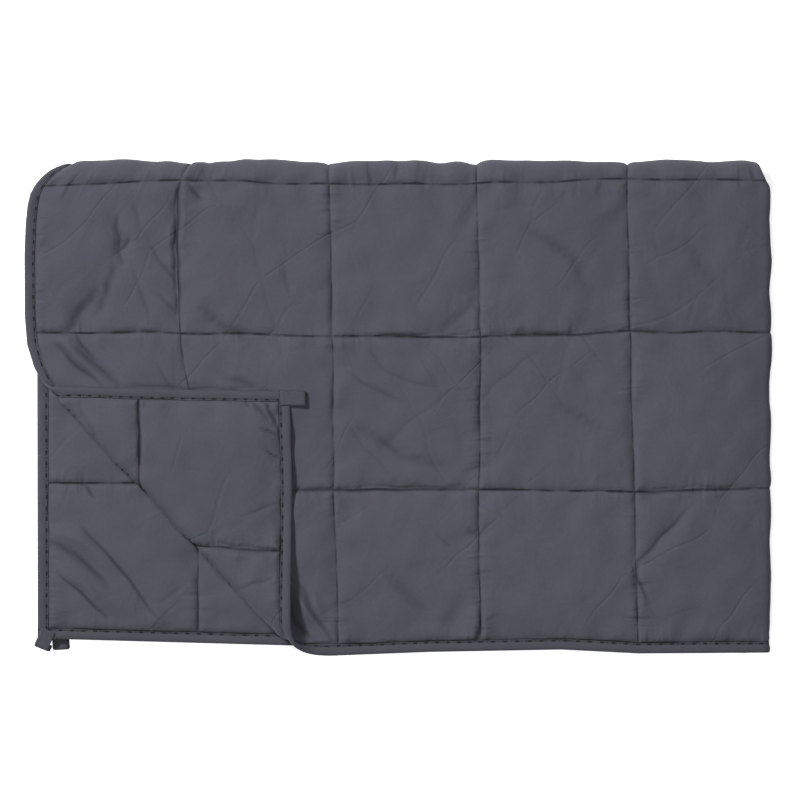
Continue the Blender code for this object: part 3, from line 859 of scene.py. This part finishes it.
def close_strip(piece):
    """Merge the section's first and last points, cap both ends, and turn the faces outward."""
    shape = bmesh.new()
    shape.from_mesh(piece.data)
    bmesh.ops.remove_doubles(shape, verts=shape.verts, dist=0.00001)
    rims = [edge for edge in shape.edges if edge.is_boundary]
    bmesh.ops.holes_fill(shape, edges=rims, sides=0)
    bmesh.ops.recalc_face_normals(shape, faces=shape.faces)
    if shape.calc_volume(signed=True) < 0:
        bmesh.ops.reverse_faces(shape, faces=shape.faces)
    shape.to_mesh(piece.data)
    shape.free()
    piece.data.shade_smooth()


STRIPS = (  # name, start, end, inward, tucked in at its ends, the node it replaces
    ("binding_turned_side", (0, 0), (SHEET_LONG, 0), (0, 1), False, "binding_long_side_turned"),
    ("binding_under_side", (0, SHEET_SHORT), (SHEET_LONG, SHEET_SHORT), (0, -1), False,
     "binding_long_side_under"),
    ("binding_outer_end", (0, 0), (0, SHEET_SHORT), (1, 0), True, "binding_short_side_outer"),
    ("binding_inner_end", (SHEET_LONG, 0), (SHEET_LONG, SHEET_SHORT), (-1, 0), True,
     "binding_short_side_inner"),
)
bindings = [strip_of_binding(*row) for row in STRIPS]
print("binding strips:", [len(strip.data.polygons) for strip in bindings])

# %% [markdown]
# ## The tape loops
#
# Each corner has a short loop of ribbed tape, where a cover can be tied on. The tape is sewn flat on
# the backing side, runs out past the edge, turns and comes back to the edge. A cross-section of the
# tape is extruded along, spun half a turn and extruded back, which is also how one would bend it. Two
# of the loops have slipped a little: their returning leg lies aside, so the eye shows from above.

# %% A loop of tape
LOOPS = (  # name, at the far long end, at the far short end, lean in degrees, reach, slant
    ("tape_loop_turned_corner", False, False, 0.0, 0.020, 0.0),
    ("tape_loop_second_layer", True, False, -22.0, 0.015, 0.5),
    ("tape_loop_third_layer", True, True, 4.0, 0.020, -0.5),
    ("tape_loop_bottom_layer", False, True, 0.0, 0.018, 0.0),
)
TAPE_STEP = 0.003
SELVEDGE_SHARE = 0.35
TURN_STEPS = 12


def extend(shape, end, distance):
    """Pull the tape's end out in short steps, and return its new end."""
    steps = max(1, round(abs(distance) / TAPE_STEP))
    for _ in range(steps):
        end = bmesh.ops.extrude_face_region(shape, geom=end)["geom"]
        corners = [item for item in end if isinstance(item, bmesh.types.BMVert)]
        bmesh.ops.translate(shape, vec=(0, distance / steps, 0), verts=corners)
    return end


def loop_of_tape(name, far_long, far_short, lean, reach, slant):
    """One loop in flat places, folded with the corner that it is sewn to."""
    shape = bmesh.new()
    bmesh.ops.create_grid(shape, x_segments=10, y_segments=2, size=0.5)
    bmesh.ops.scale(shape, vec=(TAPE_WIDTH, TAPE_THICKNESS, 1), verts=shape.verts)
    for corner in shape.verts:
        if abs(corner.co.x) > TAPE_WIDTH / 2 - 0.0001:
            corner.co.y *= SELVEDGE_SHARE
    bmesh.ops.rotate(shape, matrix=Matrix.Rotation(math.radians(90), 3, "X"), verts=shape.verts)
    top = -(BINDING_HALF + GAP + TAPE_THICKNESS / 2)
    turn_radius = (TAPE_EYE + TAPE_THICKNESS) / 2
    bmesh.ops.translate(shape, vec=(0, TAPE_HOLD, top), verts=shape.verts)
    straight = reach - turn_radius - TAPE_THICKNESS / 2
    end = extend(shape, shape.faces[:] + shape.edges[:] + shape.verts[:], -(TAPE_HOLD + straight))
    spun = bmesh.ops.spin(shape, geom=end, cent=(0, -straight, top + turn_radius), axis=(-1, 0, 0),
                          angle=math.pi, steps=TURN_STEPS)
    slack = math.sin(math.radians(abs(lean))) * (TAPE_WIDTH / 2 + abs(slant) * 2 * turn_radius)
    extend(shape, spun["geom_last"], straight - GAP - slack)
    for corner in shape.verts:
        corner.co.x += slant * (corner.co.z - top)
    bmesh.ops.rotate(shape, matrix=Matrix.Rotation(math.radians(lean), 3, "Z"), verts=shape.verts)
    bmesh.ops.translate(shape, vec=(TAPE_WIDTH / 2, 0, 0), verts=shape.verts)
    if far_long:
        bmesh.ops.scale(shape, vec=(-1, 1, 1), verts=shape.verts)
        bmesh.ops.translate(shape, vec=(SHEET_LONG, 0, 0), verts=shape.verts)
    if far_short:
        bmesh.ops.scale(shape, vec=(1, -1, 1), verts=shape.verts)
        bmesh.ops.translate(shape, vec=(0, SHEET_SHORT, 0), verts=shape.verts)
    bmesh.ops.recalc_face_normals(shape, faces=shape.faces)
    piece = new_piece(shape, name + "_tape")
    flat = read_points(piece.data)
    piece.data.vertices.foreach_set("co", fold(flat).ravel())
    keep_flat_places(piece.data, flat)
    piece.data.update()
    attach(piece, "root")
    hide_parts(name)
    return piece


loops = [loop_of_tape(*row) for row in LOOPS]
print("tape loops:", [len(loop.data.polygons) for loop in loops])

# %% [markdown]
# ## Colours and nodes
#
# Colours are picked as sRGB hex values, the way they are read off a picture, and one function turns
# them to the linear values that the renderer wants. Another adds a node with its settings and links,
# and a few short ones give a name to each thing that the materials do often: combine two values, turn
# one range into another, draw noise, mix colours and add relief.

# %% Helpers for colours and nodes
def colour(code):
    """An sRGB hex code as a linear colour."""
    parts = [int(code[place:place + 2], 16) / 255 for place in (1, 3, 5)]
    return [part / 12.92 if part <= 0.04045 else ((part + 0.055) / 1.055) ** 2.4 for part in parts] + [1.0]


def add_node(tree, kind, settings=None, **links):
    """A node of a kind. settings are its own options; links name sockets, with a value or an output."""
    made = tree.nodes.new("ShaderNode" + kind)
    for option, value in (settings or {}).items():
        setattr(made, option, value)
    for socket, value in links.items():
        target = made.inputs[int(socket[1:]) if socket[1:].isdigit() else socket.replace("_", " ")]
        if isinstance(value, bpy.types.NodeSocket):
            tree.links.new(value, target)
        else:
            target.default_value = value
    return made


def combine(tree, operation, first, second=0.0):
    """One value worked out from one or two others."""
    return add_node(tree, "Math", {"operation": operation}, _0=first, _1=second).outputs[0]


def ramp(tree, value, start, end, low, high, way="SMOOTHSTEP"):
    """Low where the value is at start, high where it is at end, and a soft change between."""
    return add_node(tree, "MapRange", {"interpolation_type": way}, Value=value, From_Min=start,
                    From_Max=end, To_Min=low, To_Max=high).outputs[0]


def noise(tree, at, scale, detail, space="2D", **more):
    """A noise pattern: a value and a colour."""
    return add_node(tree, "TexNoise", {"noise_dimensions": space}, Vector=at, Scale=scale,
                    Detail=detail, **more).outputs


def mix(tree, share, first, second, way="MIX"):
    """The first colour with a share of the second in it, or over it."""
    return add_node(tree, "Mix", {"data_type": "RGBA", "blend_type": way}, _0=share, _6=first,
                    _7=second).outputs[2]


def emboss(tree, height, strength, distance, below=None, sunk=False):
    """Relief on top of the relief below it. Sunk relief goes down where the height is more."""
    links = {"Normal": below} if below else {}
    return add_node(tree, "Bump", {"invert": sunk}, Strength=strength, Distance=distance,
                    Height=height, **links).outputs[0]


def new_finish(name):
    """A material, its tree and shader, and a point's place in the flat sheet and in the piece."""
    finish = bpy.data.materials.new(name)
    finish.use_nodes = True
    tree = finish.node_tree
    flat_at = add_node(tree, "UVMap", {"uv_map": "flat"}).outputs[0]
    at = add_node(tree, "TexCoord").outputs["Object"]
    return finish, tree, tree.nodes["Principled BSDF"], flat_at, at


def set_shader(shader, **values):
    """Set the shader's own values."""
    for name, value in values.items():
        shader.inputs[name.replace("_", " ")].default_value = value


def put_on(finish, pieces):
    """Give pieces a finish in place of any other."""
    for piece in pieces:
        piece.data.materials.clear()
        piece.data.materials.append(finish)


print("cloth in the light, linear:", [round(part, 3) for part in colour("#45454E")])

# %% [markdown]
# ## Brushed cotton of the quilt
#
# The cloth is a plain weave that was brushed, so it has no shine, a slight nap that catches light at
# low angles, and a faint mottle where the nap lies differently. Its threads are about 0.4 mm apart,
# too fine for a view of the whole, so the weave is drawn in the relief at 0.9 mm. A seam sinks in as a
# groove, more at some places than at others, and painted shade darkens it there into a dark line. Fine
# folds run square to it, and the deep middles of narrow creases get painted shade as well. Thin
# creases from packing cross the pockets on two slants.

# %% Seams, holes and weave in flat millimetres
THREAD_PITCH = 0.0009
SEAM_LINE_HALF = 0.0010
SEAM_PUCKER_REACH = 0.030
BRUSHED = {"Specular_IOR_Level": 0.25, "Sheen_Weight": 0.12, "Sheen_Roughness": 0.5,
           "Sheen_Tint": colour("#9A9AAA")}


def seam_distance(tree, place, start, pitch):
    """Distance in metres from a flat place to the nearest of a row of evenly spaced seams."""
    shifted = combine(tree, "SUBTRACT", place, start - pitch / 2)
    wrapped = add_node(tree, "Math", {"operation": "WRAP"}, _0=shifted, _1=pitch, _2=0.0).outputs[0]
    return combine(tree, "ABSOLUTE", combine(tree, "SUBTRACT", wrapped, pitch / 2))


def cotton_tone(tree, at, light, dark):
    """The cloth's colour: a broad mottle and a finer one over the base tone."""
    broad = noise(tree, at, 5.0, 3.0, "3D", Roughness=0.55)[0]
    fine = noise(tree, at, 260.0, 4.0, "3D", Roughness=0.75)[1]
    return mix(tree, 0.22, mix(tree, broad, colour(dark), colour(light)), fine, "OVERLAY")


def nap(tree, at):
    """Height of the brushed fibres."""
    return noise(tree, at, 420.0, 5.0, "3D", Roughness=0.65)[0]


def threads(tree, flat_at, way, pitch, distortion):
    """Height of a set of threads that lie side by side along one way of the sheet."""
    return add_node(tree, "TexWave", {"bands_direction": way}, Vector=flat_at,
                    Scale=math.pi / 10 / pitch, Distortion=distortion, Detail=1.0).outputs[1]


def seam_puckers(tree, flat_at, distance, stretch):
    """Short folds square to a set of seams: a stretched noise that fades away from them."""
    stretched = add_node(tree, "Mapping", None, Vector=flat_at, Scale=stretch).outputs[0]
    folds = noise(tree, stretched, 1.0, 1.5, Distortion=0.5)[0]
    where = ramp(tree, noise(tree, flat_at, 13.0, 1.0)[0], 0.42, 0.68, 0.1, 1.0, "LINEAR")
    fade = ramp(tree, distance, SEAM_PUCKER_REACH, 0.0, 0.0, 1.0)
    return combine(tree, "MULTIPLY", folds, combine(tree, "MULTIPLY", where, fade))


def pressed_creases(tree, flat_at, turn, pace):
    """Thin creases left from packing: the edges of a stretched cell pattern, and only some of them."""
    bent = noise(tree, flat_at, pace * 0.7, 1.0)[1]
    shift = add_node(tree, "VectorMath", {"operation": "SCALE"}, _0=bent, Scale=0.45 / pace).outputs[0]
    moved = add_node(tree, "VectorMath", {"operation": "ADD"}, _0=flat_at, _1=shift).outputs[0]
    turned = add_node(tree, "Mapping", {"vector_type": "TEXTURE"}, Vector=moved,
                      Rotation=(0, 0, math.radians(turn)), Scale=(2.2, 0.8, 1)).outputs[0]
    cells = add_node(tree, "TexVoronoi", {"voronoi_dimensions": "2D", "feature": "DISTANCE_TO_EDGE"},
                     Vector=turned, Scale=pace)
    line = ramp(tree, cells.outputs["Distance"], 0.045, 0.0, 0.0, 1.0, "SMOOTHERSTEP")
    some = ramp(tree, noise(tree, turned, pace * 0.8, 0.0)[0], 0.50, 0.66, 0.0, 1.0)
    return combine(tree, "MULTIPLY", line, some)


# %% The quilt's finish
def brushed_cotton():
    """Brushed plain-weave cotton with its quilting seams."""
    finish, tree, shader, flat_at, at = new_finish("brushed_cotton_quilt")
    parts = add_node(tree, "SeparateXYZ", None, Vector=flat_at).outputs
    to_u = seam_distance(tree, parts[0], BINDING_WIDTH, POCKET_LONG)
    to_v = seam_distance(tree, parts[1], BINDING_WIDTH, POCKET_SHORT)
    # The seam lines sink in as relief, and their dark colour is painted shade in the groove.
    short_seam_groove_shade = ramp(tree, to_u, SEAM_LINE_HALF * 1.4, SEAM_LINE_HALF * 0.3, 0.0, 0.75)
    long_seam_groove_shade = ramp(tree, to_v, SEAM_LINE_HALF * 2, SEAM_LINE_HALF * 0.4, 0.0, 1.0)
    pull = ramp(tree, noise(tree, flat_at, 34.0, 2.0)[0], 0.35, 0.6, 0.3, 1.0, "LINEAR")
    line = combine(tree, "MULTIPLY", combine(tree, "MAXIMUM", short_seam_groove_shade, long_seam_groove_shade), pull)
    # Painted shade: the colour darkens towards #1E1E25 where a narrow crease lies deep.
    painted_crease_shade = add_node(tree, "Attribute", {"attribute_name": "crease_shade"}).outputs["Fac"]
    shaded = mix(tree, combine(tree, "MULTIPLY", painted_crease_shade, 0.75),
                 cotton_tone(tree, at, "#45454E", "#3D3D46"), colour("#1E1E25"))
    # Painted shade: the seam lines darken the cloth towards #1C1C23.
    tree.links.new(mix(tree, line, shaded, colour("#1C1C23")), shader.inputs["Base Color"])
    puckers = combine(tree, "ADD", seam_puckers(tree, flat_at, to_u, (16.0, 62.0, 1.0)),
                      seam_puckers(tree, flat_at, to_v, (62.0, 16.0, 1.0)))
    pressed = combine(tree, "MAXIMUM", pressed_creases(tree, flat_at, 44.0, 13.0),
                      pressed_creases(tree, flat_at, -48.0, 9.0))
    weave = combine(tree, "MULTIPLY", *(threads(tree, flat_at, way, THREAD_PITCH, 0.6) for way in "XY"))
    surface = emboss(tree, weave, 0.2, 0.0003)
    surface = emboss(tree, nap(tree, at), 0.35, 0.0004, surface)
    surface = emboss(tree, noise(tree, flat_at, 22.0, 5.0, Distortion=0.8)[0], 0.5, 0.0030, surface)
    surface = emboss(tree, pressed, 0.9, 0.0005, surface, sunk=True)
    surface = emboss(tree, puckers, 1.0, 0.0046, surface)
    surface = emboss(tree, line, 0.8, 0.0010, surface, sunk=True)
    tree.links.new(surface, shader.inputs["Normal"])
    set_shader(shader, Roughness=0.88, **BRUSHED)
    return finish


quilt_finish = brushed_cotton()
put_on(quilt_finish, [quilt])
print("nodes in the quilt's finish:", len(quilt_finish.node_tree.nodes))

# %% [markdown]
# ## Binding cloth and ribbed tape
#
# The binding is the same cotton, cut on a strip. Its UV map counts metres along the strip and across
# it, so its seam is a row of needle holes at a fixed distance from the fold, with a longer stitch every
# 15 mm where the thread sinks in. Holes and stitches sink in the relief, and painted shade makes them
# dark. The tape is a ribbed one, shinier than the cotton, and its ribs are light and dark lines 1.1 mm
# apart that run along it: painted light on the ribs and painted shade in the grooves.

# %% The binding's finish
BINDING_SEAM = 0.0122
HOLE_PITCH = 0.0042
LONG_STITCH_PITCH = 0.0150


def binding_cotton():
    """The same cotton on a folded band, with needle holes along its seam, sunk in and given painted shade.
    """
    finish, tree, shader, flat_at, at = new_finish("brushed_cotton_binding")
    along, across, _ = add_node(tree, "SeparateXYZ", None, Vector=flat_at).outputs
    off_seam = combine(tree, "ABSOLUTE", combine(tree, "SUBTRACT", across, BINDING_SEAM))
    row = ramp(tree, off_seam, 0.0015, 0.0006, 0.0, 1.0)
    hole = ramp(tree, seam_distance(tree, along, 0.0, HOLE_PITCH), 0.0018, 0.0006, 0.22, 0.65)
    pull = ramp(tree, noise(tree, flat_at, 60.0, 2.0)[0], 0.35, 0.6, 0.35, 1.0, "LINEAR")
    to_long = seam_distance(tree, along, 0.0, LONG_STITCH_PITCH)
    long_stitch = ramp(tree, to_long, 0.0034, 0.0018, 0.0, 1.0)
    pulled = combine(tree, "MAXIMUM", combine(tree, "MULTIPLY", hole, pull), long_stitch)
    sewn = combine(tree, "MULTIPLY", row, pulled)
    # Painted shade: the needle holes and sunk stitches darken the cloth towards #121217.
    tone = mix(tree, sewn, cotton_tone(tree, at, "#41414A", "#383840"), colour("#121217"))
    tree.links.new(tone, shader.inputs["Base Color"])
    surface = emboss(tree, nap(tree, at), 0.35, 0.0004)
    tree.links.new(emboss(tree, sewn, 0.8, 0.0010, surface, sunk=True), shader.inputs["Normal"])
    set_shader(shader, Roughness=0.86, **BRUSHED)
    return finish


put_on(binding_cotton(), bindings)
print("binding strips finished:", len(bindings))

# %% The tape's finish
RIB_PITCH = 0.0011


def ribbed_tape():
    """Polyester tape with ribs along it, with painted light on the ribs and painted shade in the grooves.
    """
    finish, tree, shader, flat_at, at = new_finish("grosgrain_tape")
    ribs = threads(tree, flat_at, "X", RIB_PITCH, 0.3)
    # Painted light and shade: the ribs lighter (#4C4C56), the grooves darker (#26262C).
    rib_light_and_shade = mix(tree, ribs, colour("#26262C"), colour("#4C4C56"))
    mottle = noise(tree, at, 240.0, 3.0, "3D")[1]
    tree.links.new(mix(tree, 0.15, rib_light_and_shade, mottle, "OVERLAY"), shader.inputs["Base Color"])
    tree.links.new(emboss(tree, ribs, 0.7, 0.0004), shader.inputs["Normal"])
    set_shader(shader, Roughness=0.7, Specular_IOR_Level=0.35)
    return finish


put_on(ribbed_tape(), loops)
print("loops finished:", len(loops))

# %% [markdown]
# ## Floor, light and camera
#
# The blanket lies on a plain white floor that glows a little, so that it stays white in the picture.
# It is seen from straight above and from far away, so nothing leans. Most of the light comes from one
# lamp up and to the left, which gives each fold and seam a lit side and a shaded one. A weak lamp
# overhead and a wide fill from the lower left soften the shade.

# %% Floor
FLOOR_SIZE = 6.0
FLOOR_LEVEL = -0.0005


def add_floor():
    """A plain white floor under the blanket, marked as part of the stage."""
    shape = bmesh.new()
    bmesh.ops.create_grid(shape, x_segments=4, y_segments=4, size=FLOOR_SIZE / 2)
    bmesh.ops.translate(shape, vec=(0, 0, FLOOR_LEVEL), verts=shape.verts)
    floor = new_piece(shape, "floor")
    finish = bpy.data.materials.new("white_paper")
    finish.use_nodes = True
    set_shader(finish.node_tree.nodes["Principled BSDF"], Base_Color=colour("#F4F4F4"), Roughness=0.9,
               Emission_Color=(1, 1, 1, 1), Emission_Strength=0.8)
    put_on(finish, [floor])
    floor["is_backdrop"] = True


add_floor()
print("floor is", FLOOR_SIZE, "metres wide")

# %% Light and camera
VIEW_WIDTH = 1.04
VIEW_CENTRE = (0.0026, 0.01145)
CAMERA_HEIGHT = 8.0
CAMERA_LIFT = 0.03
SENSOR_WIDTH = 36
LAMPS = (  # name, place, size in metres, power in watts
    ("key", (-3.2, 2.8, 4.2), 1.0, 470),
    ("top", (0.15, -0.20, 1.7), 0.5, 12),
    ("fill", (-2.0, -3.4, 3.2), 1.6, 22),
)


def add_lamp(name, place, size, power):
    """A round soft lamp that faces the blanket."""
    lamp = bpy.data.lights.new(name, "AREA")
    lamp.shape = "DISK"
    lamp.size = size
    lamp.energy = power
    holder = bpy.data.objects.new(name, lamp)
    holder.location = place
    holder.rotation_euler = (-Vector(place)).to_track_quat("-Z", "Y").to_euler()
    bpy.context.scene.collection.objects.link(holder)


def add_camera():
    """A long lens straight above, turned so that the photo's top is +Y."""
    lens = bpy.data.cameras.new("camera")
    lens.sensor_width = SENSOR_WIDTH
    lens.lens = SENSOR_WIDTH * CAMERA_HEIGHT / VIEW_WIDTH
    holder = bpy.data.objects.new("camera", lens)
    holder.location = (*VIEW_CENTRE, CAMERA_HEIGHT + CAMERA_LIFT)
    bpy.context.scene.collection.objects.link(holder)
    bpy.context.scene.camera = holder


world = bpy.data.worlds.new("studio")
world.use_nodes = True
world.node_tree.nodes["Background"].inputs["Color"].default_value = (1, 1, 1, 1)
world.node_tree.nodes["Background"].inputs["Strength"].default_value = 0.06
bpy.context.scene.world = world
bpy.context.scene.view_settings.view_transform = "Standard"
for row in LAMPS:
    add_lamp(*row)
add_camera()
print("camera sees", VIEW_WIDTH, "metres")

# %% Write the sizes and finish
low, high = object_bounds()
growth = (high - low) - (cad_high - cad_low)
print("grows by, in millimetres:", [round(side * 1000, 1) for side in growth])
